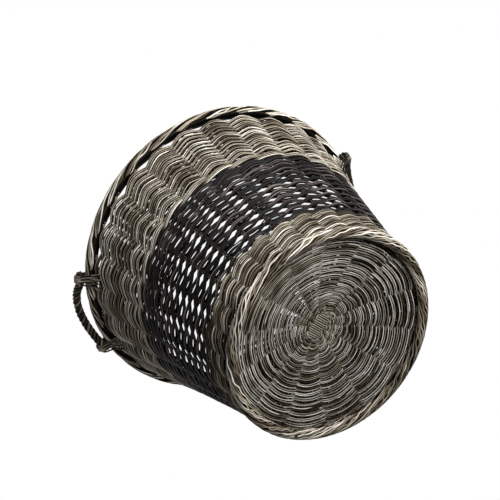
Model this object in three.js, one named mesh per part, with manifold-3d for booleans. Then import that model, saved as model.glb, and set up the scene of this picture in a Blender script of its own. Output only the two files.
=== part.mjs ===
// Round two-tone wicker log basket with two twisted rope handles.
// Millimetres, +Z up. The origin is the centre of the foot ring's underside. The handles are on -X and +X.
// Seven bundles of willow rods cross under each other at the middle of the base, run out as 14 arms,
// split into 28 pairs of stakes, turn up the wall and end in the rolled border.
import * as THREE from "three";
import { mergeVertices } from "three/addons/utils/BufferGeometryUtils.js";
import Module from "manifold-3d";

const wasm = await Module();
wasm.setup();

// Clearances between pieces that touch
const SEAT_GAP = 0.3; // between two pieces that rest on each other
const CHANNEL_GAP = 0.35; // round a stake inside the weave
const LASHING_GAP = 0.3; // between a lashing and the rope and border inside it

// Stakes
const ROD = 2.5; // diameter of one willow rod
const PAIR_PITCH = 2 * ROD + SEAT_GAP; // pair to pair where the bundles cross
const LONG_PAIRS = 8; // pairs that run one way through the middle of the base
const CROSS_PAIRS = 6; // pairs that cross over them
const PAIR_ENDS = 2 * (LONG_PAIRS + CROSS_PAIRS); // stake pairs round the wall
const PAIR_ANGLE = (2 * Math.PI) / PAIR_ENDS;
const LONG_HEADING = (51.4 * Math.PI) / 180; // puts the middle of a gap between stakes on each handle

// Woven base, a shallow dome that rises into the basket
const BASE_RADIUS = 124;
const BASE_KNEE = 80; // radius where the base's outline bends between its edge and the crossing
const BASE_THICKNESS = 8;
const BASE_DOME = 20;
const MIDDLE_HOLE = 27; // radius of the crossing, where the base weave starts

// Foot ring
const FOOT_OVERHANG = 13; // from the base's edge to the ring's outside
const FOOT_RADIUS = BASE_RADIUS + FOOT_OVERHANG;
const FOOT_WIDTH = 14;
const FOOT_HEIGHT = 12;
const FOOT_ROUND = 4;
const BASE_EDGE = FOOT_HEIGHT + BASE_THICKNESS / 2 + SEAT_GAP; // height of the arms at the base's edge

// Wall, as the stakes' height at the top of each band and how far they flare out within it
const TURN_UP_STEP = 7.5; // from the base's edge to the stakes' line where they turn up
const TURN_UP_RADIUS = BASE_RADIUS + TURN_UP_STEP;
const WALE_LOW_FLARE = 5.5;
const DARK_BAND_FLARE = 26.5;
const WALE_MID_FLARE = 2.5;
const LIGHT_BAND_FLARE = 20.5;
const WALE_LOW = { top: 52, radius: TURN_UP_RADIUS + WALE_LOW_FLARE };
const DARK_BAND = { top: 178, radius: WALE_LOW.radius + DARK_BAND_FLARE };
const WALE_MID = { top: 188, radius: DARK_BAND.radius + WALE_MID_FLARE };
const LIGHT_BAND = { top: 270, radius: WALE_MID.radius + LIGHT_BAND_FLARE };
const WALE_SKIN = 5.2; // half thickness of a band of thick rods
const BAND_SKIN = 4.4; // half thickness of a band of thin rods

// Rolled border round the mouth
const BORDER_STEP = 5; // from the stakes' line at the wall's top to the border's centre line
const BORDER_RADIUS = LIGHT_BAND.radius + BORDER_STEP;
const BORDER_HALF_WIDTH = 8.5;
const BORDER_HEIGHT = 14;
const BORDER_LIFT = 5; // open height between the weave and the border
const BORDER_LOW = LIGHT_BAND.top + BORDER_LIFT;
const BORDER_MIDDLE = BORDER_LOW + BORDER_HEIGHT / 2;

// Handles
const ROPE_RADIUS = 5.5;
const HANDLE_ARC = (18.2 * Math.PI) / 180; // from the arch's middle to each rope end, round the rim
const HANDLE_LEAN = 3; // how far the arch's top stands out past its ends
const HANDLE_RISE = 21; // from the border's middle to the rope's centre at the top of the arch
const ROPE_GAP = 1; // between the border and a rope's ends
const HANDLE_RADIUS = BORDER_RADIUS + BORDER_HALF_WIDTH + ROPE_RADIUS + ROPE_GAP;
const LASHING_ANGLE = (14.8 * Math.PI) / 180; // middle of a lashing, from the arch's middle
const LASHING_WIDTH = 10;
const LASHING_SKIN = 3;

const ROUND_STEPS = 56;
const BASE_STEPS = 28;

const grey = new THREE.MeshStandardMaterial({ color: 0x8f8776, roughness: 0.8, metalness: 0 });
const paleGrey = new THREE.MeshStandardMaterial({ color: 0xa39a88, roughness: 0.8, metalness: 0 });
const darkBrown = new THREE.MeshStandardMaterial({ color: 0x2f2826, roughness: 0.75, metalness: 0 });
const stakeBrown = new THREE.MeshStandardMaterial({ color: 0x4b443b, roughness: 0.8, metalness: 0 });
const ropeGrey = new THREE.MeshStandardMaterial({ color: 0x3a3733, roughness: 0.8, metalness: 0 });

// Turns a closed three.js geometry into a solid that can be cut.
function solidOf(geometry) {
  const bare = geometry.index ? geometry.toNonIndexed() : geometry.clone();
  for (const name of Object.keys(bare.attributes)) if (name !== "position") bare.deleteAttribute(name);
  const merged = mergeVertices(bare, 1e-4);
  return new wasm.Manifold(
    new wasm.Mesh({
      numProp: 3,
      vertProperties: new Float32Array(merged.attributes.position.array),
      triVerts: new Uint32Array(merged.index.array),
    }),
  );
}

function geometryOf(solid) {
  const mesh = solid.getMesh();
  return new THREE.BufferGeometry()
    .setAttribute("position", new THREE.BufferAttribute(new Float32Array(mesh.vertProperties), 3))
    .setIndex(new THREE.BufferAttribute(new Uint32Array(mesh.triVerts), 1));
}

const radial = (angle) => new THREE.Vector3(Math.cos(angle), Math.sin(angle), 0);
const UP = new THREE.Vector3(0, 0, 1);

// A closed bar along a path, with flats on its half width and half thickness. Each path point carries
// the direction of the bar's width.
function bar(path, halfWidth, halfThickness, sides) {
  const positions = [];
  const index = [];
  const corner = 1 / Math.cos(Math.PI / sides);
  path.forEach(({ at }, i) => {
    const before = path[Math.max(i - 1, 0)].at;
    const after = path[Math.min(i + 1, path.length - 1)].at;
    const along = after.clone().sub(before).normalize();
    const side = path[i].across.clone().addScaledVector(along, -path[i].across.dot(along)).normalize();
    const face = along.clone().cross(side);
    for (let j = 0; j < sides; j++) {
      const turn = (2 * Math.PI * (j + 0.5)) / sides;
      const point = at.clone();
      point.addScaledVector(side, halfWidth * corner * Math.cos(turn));
      point.addScaledVector(face, halfThickness * corner * Math.sin(turn));
      positions.push(...point.toArray());
    }
  });
  const start = path.length * sides;
  positions.push(...path[0].at.toArray(), ...path[path.length - 1].at.toArray());
  const last = (path.length - 1) * sides;
  for (let j = 0; j < sides; j++) {
    const k = (j + 1) % sides;
    for (let i = 0; i < path.length - 1; i++) {
      const a = i * sides;
      const b = a + sides;
      index.push(a + j, a + k, b + k, a + j, b + k, b + j);
    }
    index.push(start, k, j, start + 1, last + j, last + k);
  }
  return new THREE.BufferGeometry()
    .setAttribute("position", new THREE.Float32BufferAttribute(positions, 3))
    .setIndex(index);
}

const STAKE_END_STEP = 1.5; // how far the stakes flare between the weave and the border
// Radius of the stakes' centre line at a height on the wall.
const WALL_KNOTS = [
  [BASE_EDGE + 2 * ROD, TURN_UP_RADIUS],
  [WALE_LOW.top, WALE_LOW.radius],
  [DARK_BAND.top, DARK_BAND.radius],
  [WALE_MID.top, WALE_MID.radius],
  [LIGHT_BAND.top, LIGHT_BAND.radius],
  [BORDER_LOW, LIGHT_BAND.radius + STAKE_END_STEP],
];
function wallRadius(z) {
  const last = WALL_KNOTS.length - 1;
  const k = WALL_KNOTS.findIndex(([top], n) => n > 0 && (z <= top || n === last));
  const [z0, r0] = WALL_KNOTS[k - 1];
  const [z1, r1] = WALL_KNOTS[k];
  return r0 + ((r1 - r0) * (z - z0)) / (z1 - z0);
}

const domeHeight = (r) => BASE_EDGE + BASE_DOME * (1 - Math.min(1, r / BASE_RADIUS) ** 2);

// Radius, and how far each pair stands from its arm's middle there
const ARM_SPREAD = [
  [MIDDLE_HOLE + 23, PAIR_PITCH / 2 + SEAT_GAP],
  [BASE_RADIUS - 39, 4],
  [BASE_RADIUS - 16, 5.5],
];
const ARM_END = 4; // from the base's edge to where the pairs leave their arm

// The outer pairs bend first, so pairs that run side by side keep their distance through the bend.
const BEND_STAGGER = 0.3;

// Half of a stake pair's path, from the middle of the base out along its arm and up the wall.
function halfPath(heading, offset, rank, pairs, layer, sign) {
  const arm = Math.floor(rank / 2) - (pairs / 2 - 1) / 2;
  const twin = rank % 2 === 0 ? -1 : 1;
  const outward = sign > 0 ? heading : heading + Math.PI;
  const armAngle = outward + sign * arm * 2 * PAIR_ANGLE;
  const wallAngle = outward + sign * (rank - (pairs - 1) / 2) * PAIR_ANGLE;
  const crossHalf = ((pairs === LONG_PAIRS ? CROSS_PAIRS : LONG_PAIRS) * PAIR_PITCH) / 2;
  const side = radial(heading + Math.PI / 2).multiplyScalar(offset);
  const points = [];
  const add = (at, angle) => {
    const travel = radial(angle).multiplyScalar(sign);
    points.push({ at, across: UP.clone().cross(travel) });
  };
  const middle = domeHeight(0) + layer * (ROD / 2 + SEAT_GAP / 2);
  add(side.clone().setZ(middle), outward);
  const bend = crossHalf + 1 + (((pairs - 1) / 2) * PAIR_PITCH - Math.abs(offset)) * BEND_STAGGER;
  add(side.clone().addScaledVector(radial(outward), bend).setZ(middle), outward);
  for (const [r, apart] of ARM_SPREAD) {
    const at = radial(armAngle).multiplyScalar(r);
    at.addScaledVector(radial(armAngle + Math.PI / 2), sign * twin * apart);
    add(at.setZ(domeHeight(r)), armAngle);
  }
  const rim = BASE_EDGE;
  const edge = BASE_RADIUS - ARM_END;
  add(radial((armAngle + wallAngle) / 2).multiplyScalar(edge).setZ(rim + 0.2), (armAngle + wallAngle) / 2);
  const turn = [
    [TURN_UP_RADIUS - 3.5, rim + 1],
    [TURN_UP_RADIUS - 1, rim + 3],
  ];
  for (const [r, z] of turn) add(radial(wallAngle).multiplyScalar(r).setZ(z), wallAngle);
  const bandTops = [WALE_LOW, DARK_BAND, WALE_MID, LIGHT_BAND].map((band) => band.top);
  for (const z of [rim + 2 * ROD + 3, ...bandTops, BORDER_LOW - SEAT_GAP])
    add(radial(wallAngle).multiplyScalar(wallRadius(z)).setZ(z), wallAngle);
  return points;
}

function stakePath(heading, rank, pairs, layer) {
  const offset = (rank - (pairs - 1) / 2) * PAIR_PITCH;
  const back = halfPath(heading, offset, rank, pairs, layer, -1).reverse();
  const front = halfPath(heading, offset, rank, pairs, layer, 1);
  return back.concat(front.slice(1));
}

const stakePaths = [];
for (let rank = 0; rank < LONG_PAIRS; rank++) stakePaths.push(stakePath(LONG_HEADING, rank, LONG_PAIRS, -1));
for (let rank = 0; rank < CROSS_PAIRS; rank++)
  stakePaths.push(stakePath(LONG_HEADING + Math.PI / 2, rank, CROSS_PAIRS, 1));

const STAKE_SIDES = 4;
const stakeGeometries = stakePaths.map((path) => bar(path, ROD, ROD / 2, STAKE_SIDES));
const channelCutter = stakePaths
  .map((path) => solidOf(bar(path, ROD + CHANNEL_GAP, ROD / 2 + CHANNEL_GAP, STAKE_SIDES)))
  .reduce((all, one) => all.add(one));

// A ring turned about the basket's axis from a closed outline of [radius, height] points, anticlockwise.
function ring(outline, steps = ROUND_STEPS) {
  const points = outline.concat([outline[0]]).map(([r, z]) => new THREE.Vector2(r, z));
  return new THREE.LatheGeometry(points, steps).rotateX(Math.PI / 2);
}

const channelled = (geometry) => geometryOf(solidOf(geometry).subtract(channelCutter));

// A woven band of the wall between two heights.
function band(low, high, skin) {
  const heights = [low, high];
  const outer = heights.map((z) => [wallRadius(z) + skin, z]);
  const inner = heights.map((z) => [wallRadius(z) - skin, z]).reverse();
  return channelled(ring(outer.concat(inner)));
}

function baseWeave() {
  const radii = [MIDDLE_HOLE, BASE_KNEE, BASE_RADIUS];
  const under = radii.map((r) => [r, domeHeight(r) - BASE_THICKNESS / 2]);
  const over = radii.map((r) => [r, domeHeight(r) + BASE_THICKNESS / 2]).reverse();
  return channelled(ring(under.concat(over), BASE_STEPS));
}

function footRing() {
  const inside = FOOT_RADIUS - FOOT_WIDTH;
  return ring([
    [inside + FOOT_ROUND, 0],
    [FOOT_RADIUS - FOOT_ROUND, 0],
    [FOOT_RADIUS, FOOT_ROUND],
    [FOOT_RADIUS, FOOT_HEIGHT - FOOT_ROUND / 2],
    [FOOT_RADIUS - FOOT_ROUND / 2, FOOT_HEIGHT],
    [inside + FOOT_ROUND / 2, FOOT_HEIGHT],
    [inside, FOOT_HEIGHT - FOOT_ROUND / 2],
    [inside, FOOT_ROUND],
  ]);
}

// The border's oval section, grown all round by a margin.
function borderOutline(margin) {
  const BORDER_SIDES = 8;
  const outline = [];
  for (let j = 0; j < BORDER_SIDES; j++) {
    const turn = (2 * Math.PI * j) / BORDER_SIDES;
    const r = BORDER_RADIUS + (BORDER_HALF_WIDTH + margin) * Math.cos(turn);
    outline.push([r, BORDER_MIDDLE + (BORDER_HEIGHT / 2 + margin) * Math.sin(turn)]);
  }
  return outline;
}

// Centre line of a handle: part of its arc round the rim, and part of its rise.
const HANDLE_HALF = [
  [1, 0],
  [0.86, 0],
  [0.72, 0.06],
  [0.6, 0.3],
  [0.47, 0.62],
  [0.3, 0.88],
  [0.13, 0.99],
];
const handleLine = HANDLE_HALF.concat([[0, 1]], HANDLE_HALF.map(([arc, rise]) => [-arc, rise]).reverse());

const ROPE_SIDES = 8;
const ROPE_STEPS = 24;
// middle is the angle of the arch's middle round the rim.
function rope(middle, margin) {
  const line = new THREE.CatmullRomCurve3(
    handleLine.map(([arc, rise]) =>
      radial(middle + arc * HANDLE_ARC)
        .multiplyScalar(HANDLE_RADIUS + rise * HANDLE_LEAN)
        .setZ(BORDER_MIDDLE + rise * HANDLE_RISE),
    ),
    false,
    "centripetal",
  );
  const across = radial(middle);
  const path = line.getSpacedPoints(ROPE_STEPS).map((at) => ({ at, across }));
  return bar(path, ROPE_RADIUS + margin, ROPE_RADIUS + margin, ROPE_SIDES);
}

// A lashing: cane wound round the border and the end of a handle. side is -1 or +1 along the rim.
function lashing(middle, side) {
  const shape = new THREE.Shape();
  const apart = HANDLE_RADIUS - BORDER_RADIUS;
  const small = ROPE_RADIUS + LASHING_SKIN;
  const large = BORDER_HALF_WIDTH + LASHING_SKIN;
  const lean = Math.asin((large - small) / apart);
  shape.absarc(0, 0, large, Math.PI / 2 - lean, (3 * Math.PI) / 2 + lean, false);
  shape.absarc(apart, 0, small, -Math.PI / 2 + lean, Math.PI / 2 - lean, false);
  const depth = LASHING_WIDTH;
  const block = new THREE.ExtrudeGeometry(shape, { depth, bevelEnabled: false, curveSegments: 6 });
  // The outline is drawn with the basket's outside on +X, then stood up and turned to its place on the rim.
  block.rotateX(Math.PI / 2);
  block.translate(BORDER_RADIUS, LASHING_WIDTH / 2, BORDER_MIDDLE);
  block.rotateZ(middle + side * LASHING_ANGLE);
  return geometryOf(
    solidOf(block)
      .subtract(solidOf(ring(borderOutline(LASHING_GAP))))
      .subtract(solidOf(rope(middle, LASHING_GAP))),
  );
}

const basket = new THREE.Group();
function add(name, geometry, material) {
  const mesh = new THREE.Mesh(geometry, material);
  mesh.name = name;
  basket.add(mesh);
}

stakeGeometries.forEach((geometry, i) =>
  add(`stake_pair_${String(i + 1).padStart(2, "0")}`, geometry, stakeBrown),
);
add("foot_border", footRing(), paleGrey);
add("base_weave", baseWeave(), grey);
add("lower_wale", band(FOOT_HEIGHT + SEAT_GAP, WALE_LOW.top, WALE_SKIN), paleGrey);
add("dark_band", band(WALE_LOW.top + SEAT_GAP, DARK_BAND.top, BAND_SKIN), darkBrown);
add("middle_wale", band(DARK_BAND.top + SEAT_GAP, WALE_MID.top, WALE_SKIN), paleGrey);
add("light_band", band(WALE_MID.top + SEAT_GAP, LIGHT_BAND.top, BAND_SKIN), grey);
add("rolled_border", ring(borderOutline(0)), paleGrey);
const handles = [
  { name: "left", middle: Math.PI, front: 1 },
  { name: "right", middle: 0, front: -1 },
];
for (const { name, middle, front } of handles) {
  add(`handle_${name}_rope`, rope(middle, 0), ropeGrey);
  add(`lashing_${name}_front`, lashing(middle, front), grey);
  add(`lashing_${name}_back`, lashing(middle, -front), grey);
}

export default basket;
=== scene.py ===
"""Round two-tone willow basket, rod by rod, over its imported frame.

Lengths in the classes are millimetres, and are turned to metres when a mesh is made. Angles are radians, unless a
comment says degrees.
"""

import logging
from dataclasses import dataclass, field
from enum import Enum

import bpy
import numpy as np
from mathutils import Matrix, Vector

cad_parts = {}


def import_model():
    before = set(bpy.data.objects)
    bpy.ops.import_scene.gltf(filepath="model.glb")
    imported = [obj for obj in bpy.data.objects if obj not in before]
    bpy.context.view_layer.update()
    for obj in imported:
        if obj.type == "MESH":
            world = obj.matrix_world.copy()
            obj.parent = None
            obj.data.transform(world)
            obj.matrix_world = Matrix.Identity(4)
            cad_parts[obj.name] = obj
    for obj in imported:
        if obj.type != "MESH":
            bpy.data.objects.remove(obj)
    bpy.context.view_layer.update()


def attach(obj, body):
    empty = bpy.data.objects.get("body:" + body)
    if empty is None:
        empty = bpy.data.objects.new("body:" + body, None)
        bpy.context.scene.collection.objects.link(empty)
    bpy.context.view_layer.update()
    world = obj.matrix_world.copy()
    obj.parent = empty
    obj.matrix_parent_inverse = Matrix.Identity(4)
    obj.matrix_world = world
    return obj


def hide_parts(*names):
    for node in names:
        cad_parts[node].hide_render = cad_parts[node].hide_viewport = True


logging.basicConfig(level=logging.INFO, format="%(message)s")
log = logging.getLogger("basket")

MM = 0.001
TAU = 2 * np.pi
STAKES = 28
STAKE_STEP = TAU / STAKES
ARMS = 14
ARM_STEP = TAU / ARMS
HEADING = np.radians(51.4)  # the way the long set of sticks runs through the middle of the base
PATTERN_STEP = 977.0  # how far on in the bark's pattern each next rod starts, so that no two look alike


class Side(Enum):
    """The two handles, by the end of the X axis that each stands at."""

    LEFT = -1
    RIGHT = 1


class Layer(Enum):
    """How a set of stakes lies where the two sets cross, in the middle of the base."""

    UNDER = -1
    OVER = 1


def linear(code: str) -> tuple[float, float, float, float]:
    """Turns a colour to linear light.

    Each channel c becomes c / 12.92 up to 0.04045, and ((c + 0.055) / 1.055) ^ 2.4 above.

    Args:
        code: sRGB colour as "#rrggbb".

    Returns:
        Linear red, green, blue and alpha 1.
    """
    c = np.array([int(code[i : i + 2], 16) for i in (1, 3, 5)]) / 255
    c = np.where(c <= 0.04045, c / 12.92, ((c + 0.055) / 1.055) ** 2.4)
    return (*c.tolist(), 1.0)


def add_node(
    tree: bpy.types.NodeTree, kind: str, settings: dict | None = None, links: dict | None = None
) -> bpy.types.Node:
    """Adds one shader node.

    Args:
        tree: the material's node tree.
        kind: node type name.
        settings: attribute names, or input names and numbers for sockets, to their values.
        links: input name or number to the output socket that feeds it.

    Returns:
        The new node.
    """
    made = tree.nodes.new(kind)
    for key, value in (settings or {}).items():
        if isinstance(key, str) and hasattr(made, key):
            setattr(made, key, value)
        else:
            made.inputs[key].default_value = value
    for key, source in (links or {}).items():
        tree.links.new(source, made.inputs[key])
    return made


def maths(
    tree: bpy.types.NodeTree, operation: str, *values: bpy.types.NodeSocket | float, clamp: bool = False
) -> bpy.types.NodeSocket:
    """Adds a sum, product or other maths node.

    Args:
        tree: the material's node tree.
        operation: what it does.
        values: a number, or the socket that feeds it, for each input.
        clamp: whether the result is kept within 0 and 1.

    Returns:
        The result's socket.
    """
    numbers = {place: value for place, value in enumerate(values) if isinstance(value, float)}
    sockets = {place: value for place, value in enumerate(values) if not isinstance(value, float)}
    made = add_node(tree, "ShaderNodeMath", {"operation": operation, "use_clamp": clamp, **numbers}, sockets)
    return made.outputs[0]


def ranged(
    tree: bpy.types.NodeTree, source: bpy.types.NodeSocket, before: tuple[float, float], after: tuple[float, float]
) -> bpy.types.NodeSocket:
    """Adds a node that turns one range of values to another, and stops at both ends.

    Args:
        tree: the material's node tree.
        source: the socket with the value.
        before: the range it comes in.
        after: the range it leaves in.

    Returns:
        The result's socket.
    """
    ends = {"From Min": before[0], "From Max": before[1], "To Min": after[0], "To Max": after[1]}
    return add_node(tree, "ShaderNodeMapRange", ends, {"Value": source}).outputs[0]


@dataclass(frozen=True)
class WillowFinish:
    """Willow rods, dried and stained or washed, then left unvarnished.

    The rod's own tone runs through four colours, and the bark leaves fine streaks along each rod.
    """

    title: str
    colours: tuple[str, str, str, str]
    stops: tuple[float, float, float, float] = (0.0, 0.35, 0.7, 1.0)
    roughness: float = 0.62
    gloss: float = 0.06  # dry bark gives back little of the light that a varnished rod would
    streaks_round: float = 7.0  # bark streaks round a rod, about 1 mm each
    streak_length_mm: float = 22.0
    streak_noise: tuple[float, float] = (0.35, 0.62)  # the part of the noise that makes streaks
    streak_depth: float = 0.74  # how much of the colour the darkest streaks take away
    streak_peak: float = 1.06  # how bright the bark is between them
    bark_relief_mm: float = 0.4
    bark_strength: float = 0.35
    blotch_mm: float = 30.0
    blotch_noise: tuple[float, float] = (0.3, 0.7)
    blotch_push: float = 0.13  # how far a blotch moves the tone either way
    painted_shade_keep: float = 0.04  # how much colour the painted shade leaves at its darkest, in the creases where rod meets rod and on the side turned into the weave
    crease_shade_range: tuple[float, float] = (-0.25, 0.95)  # where the painted shade of the creases fades out: -1 is where rod meets rod and 1 is the open face
    hidden_shade_range: tuple[float, float] = (0.14, 0.62)  # where the painted shade of the hidden side fades out: 0 is the side turned into the weave and 1 the open side

    def tone_colour(self, tree: bpy.types.NodeTree) -> bpy.types.NodeSocket:
        """Reads the colour from the rod's tone, pushed a little by blotches.

        Args:
            tree: the material's node tree.

        Returns:
            The colour's socket.
        """
        place = add_node(tree, "ShaderNodeTexCoord").outputs["Object"]
        size = {"Scale": 1 / (self.blotch_mm * MM), "Detail": 2.0}
        blotch = add_node(tree, "ShaderNodeTexNoise", size, {"Vector": place}).outputs["Fac"]
        push = ranged(tree, blotch, self.blotch_noise, (-self.blotch_push, self.blotch_push))
        tone = add_node(tree, "ShaderNodeAttribute", {"attribute_name": "tone"}).outputs["Fac"]
        ramp = add_node(tree, "ShaderNodeValToRGB", None, {"Fac": maths(tree, "ADD", tone, push, clamp=True)})
        ramp.color_ramp.elements.new(0.5)
        ramp.color_ramp.elements.new(0.6)
        for element, stop, code in zip(ramp.color_ramp.elements, self.stops, self.colours):
            element.position = stop
            element.color = linear(code)
        return ramp.outputs["Color"]

    def bark(self, tree: bpy.types.NodeTree, uv: bpy.types.NodeSocket) -> bpy.types.NodeSocket:
        """Makes the bark's pattern: noise drawn out along the rod.

        Args:
            tree: the material's node tree.
            uv: metres along the rod and part of the way round it.

        Returns:
            The pattern's socket, 0 to 1.
        """
        stretch = {"Scale": (1 / (self.streak_length_mm * MM), self.streaks_round, 1.0)}
        drawn = add_node(tree, "ShaderNodeMapping", stretch, {"Vector": uv}).outputs[0]
        settings = {"Scale": 1.0, "Detail": 3.0, "Roughness": 0.6}
        return add_node(tree, "ShaderNodeTexNoise", settings, {"Vector": drawn}).outputs["Fac"]

    def painted_shade(self, tree: bpy.types.NodeTree, uv: bpy.types.NodeSocket) -> bpy.types.NodeSocket:
        """Works out the painted shade, dark where rod meets rod and on the side turned into the weave: the open face
        times the open side.

        The face is cos(4 pi v), with v the part of the way round the rod: 1 on the two faces of the weave and -1 on
        the two sides where rod meets rod.

        Args:
            tree: the material's node tree.
            uv: metres along the rod and part of the way round it.

        Returns:
            The painted shade's socket, 1 where no shade is painted.
        """
        split = add_node(tree, "ShaderNodeSeparateXYZ", None, {"Vector": uv})
        face = maths(tree, "COSINE", maths(tree, "MULTIPLY", split.outputs["Y"], 2 * TAU))
        side = add_node(tree, "ShaderNodeAttribute", {"attribute_name": "open"}).outputs["Fac"]
        # painted shade in the creases where rod meets rod
        crease_shade = ranged(tree, face, self.crease_shade_range, (self.painted_shade_keep, 1.0))
        # painted shade on the side of the rod turned into the weave
        hidden_side_shade = ranged(tree, side, self.hidden_shade_range, (self.painted_shade_keep, 1.0))
        return maths(tree, "MULTIPLY", crease_shade, hidden_side_shade)

    def material(self) -> bpy.types.Material:
        """Makes the rod material: tone and blotches choose the colour, bark streaks and painted shade darken it.

        Returns:
            The material.
        """
        made = bpy.data.materials.new(self.title)
        made.use_nodes = True
        tree = made.node_tree
        tree.nodes.clear()
        uv = add_node(tree, "ShaderNodeUVMap", {"uv_map": "rod"}).outputs["UV"]
        bark = self.bark(tree, uv)
        streaks = ranged(tree, bark, self.streak_noise, (1 - self.streak_depth, self.streak_peak))
        # the bark streaks times the painted shade
        streaks_and_painted_shade = maths(tree, "MULTIPLY", streaks, self.painted_shade(tree, uv))
        colour = self.tone_colour(tree)
        shade = add_node(tree, "ShaderNodeVectorMath", {"operation": "MULTIPLY"}, {0: colour, 1: streaks_and_painted_shade})
        relief = {"Strength": self.bark_strength, "Distance": self.bark_relief_mm * MM}
        bump = add_node(tree, "ShaderNodeBump", relief, {"Height": bark})
        skin = add_node(
            tree,
            "ShaderNodeBsdfPrincipled",
            {"Roughness": self.roughness, "IOR": 1.5, "Specular IOR Level": self.gloss},
            {"Base Color": shade.outputs[0], "Normal": bump.outputs[0]},
        )
        add_node(tree, "ShaderNodeOutputMaterial", None, {"Surface": skin.outputs[0]})
        return made


# Grey-washed willow: silvery grey on the raised bark, brown where the wash wore off.
GREY_WILLOW = WillowFinish("Grey-washed willow, woven", ("#1f1910", "#5f5443", "#b2a795", "#fbf5ea"))
# The same willow in the base, where rods lie tight and the painted shade between them goes all the way to black.
BASE_WILLOW = WillowFinish(
    "Grey-washed willow, base", ("#130f09", "#544a3b", "#b6ab99", "#fffaf0"), streak_depth=0.86, painted_shade_keep=0.0
)
# The same willow in the hand-laid border, the foot and the thick rows, a little paler from handling.
PALE_WILLOW = WillowFinish("Grey-washed willow, rolled border", ("#211b12", "#64594a", "#b5aa98", "#fbf5ea"))
# Willow stained dark brown, near black, darkened further in the hollows by painted shade, with a faint sheen on the
# bark.
DARK_WILLOW = WillowFinish(
    "Dark stained willow, woven", ("#080605", "#110d0c", "#211a18", "#7a6d69"), roughness=0.5, gloss=0.1
)
# Thin unpeeled rods, dull and brown-grey, kept dark partly as painted shade for where they show through the gaps of
# the weave; pale where they cross in the base, partly their own colour and partly painted light against the shade of
# the recess there.
STAKE_WILLOW = WillowFinish("Unpeeled willow stakes", ("#2a241e", "#463e35", "#665d50", "#c4baa8"))
# Willow twisted green into rope, dark from its bark.
ROPE_WILLOW = WillowFinish(
    "Twisted bark willow rope", ("#14110e", "#27221d", "#443d35", "#84796a"), streaks_round=9.0
)
# Split willow wound tight, smooth inner face out.
LASHING_WILLOW = WillowFinish("Split willow lashing", ("#453d33", "#6c6355", "#8e8475", "#bdb3a3"), roughness=0.5)


def unit(v: np.ndarray) -> np.ndarray:
    """Scales each vector to length 1.

    Args:
        v: vectors in the last axis.

    Returns:
        The unit vectors.
    """
    return v / np.maximum(np.linalg.norm(v, axis=-1, keepdims=True), 1e-12)


def spot(r: np.ndarray | float, angle: np.ndarray | float, z: np.ndarray | float) -> np.ndarray:
    """Turns radius, angle and height into points: x = r cos(angle), y = r sin(angle).

    Args:
        r: radii.
        angle: angles round the axis.
        z: heights.

    Returns:
        Points, with x, y, z in a new last axis.
    """
    r, angle, z = np.broadcast_arrays(r, angle, z)
    return np.stack([r * np.cos(angle), r * np.sin(angle), z], axis=-1)


def run_of(path: np.ndarray) -> np.ndarray:
    """Measures a path: the sum of the steps up to each point.

    Args:
        path: points, (points, 3).

    Returns:
        The length run at each point.
    """
    return np.concatenate([[0], np.cumsum(np.linalg.norm(np.diff(path, axis=0), axis=1))])


def evenly(values: np.ndarray, run: np.ndarray, count: int) -> np.ndarray:
    """Reads values along a path at evenly spaced places, straight between those that are given.

    Args:
        values: what is known at each point of the path, (points, 3).
        run: the length run at each point.
        count: how many places to read.

    Returns:
        The values there, (count, 3).
    """
    even = np.linspace(0, run[-1], count)
    return np.stack([np.interp(even, run, values[:, i]) for i in range(3)], axis=1)


def bell(count: int) -> np.ndarray:
    """Weights for easing a line: a raised cosine that adds up to 1.

    Args:
        count: number of weights, odd.

    Returns:
        The weights.
    """
    window = np.hanning(count)
    return window / window.sum()


def wander(
    rng: np.random.Generator, rows: int, count: int, size: float, closed: bool, waves: int = 6
) -> np.ndarray:
    """Slow hand-made unevenness: a sum of sines with random heights and phases.

    Sine number k turns k + 2 times over the length, so that a closed rod meets itself.

    Args:
        rng: seeded random source.
        rows: number of rods.
        count: points along each rod.
        size: rough height of the unevenness.
        closed: whether the rod meets itself.
        waves: number of sines.

    Returns:
        Offsets, one row for each rod.
    """
    t = np.linspace(0, TAU, count, endpoint=not closed)
    turns = np.arange(2, 2 + waves)
    phase = rng.uniform(0, TAU, (rows, waves, 1))
    height = rng.normal(0, 1, (rows, waves, 1)) / np.sqrt(waves)
    return size * (height * np.sin(turns[None, :, None] * t + phase)).sum(axis=1)


def rod_tones(
    rng: np.random.Generator, rows: int, count: int, lengths: int, middle: float, spread: float
) -> np.ndarray:
    """Tone of each rod, in lengths that change where a new rod was laid in.

    Args:
        rng: seeded random source.
        rows: number of rows of rods.
        count: points along each row.
        lengths: how many rods make one row.
        middle: average tone, 0 dark to 1 pale.
        spread: standard deviation of the tone.

    Returns:
        Tone from 0 to 1 at each point.
    """
    tones = rng.normal(middle, spread, (rows, lengths))
    start = rng.uniform(0, 1, (rows, 1))
    at = ((np.arange(count)[None, :] / count + start) * lengths).astype(int) % lengths
    return np.clip(np.take_along_axis(tones, at, axis=1), 0.0, 1.0)


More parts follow.
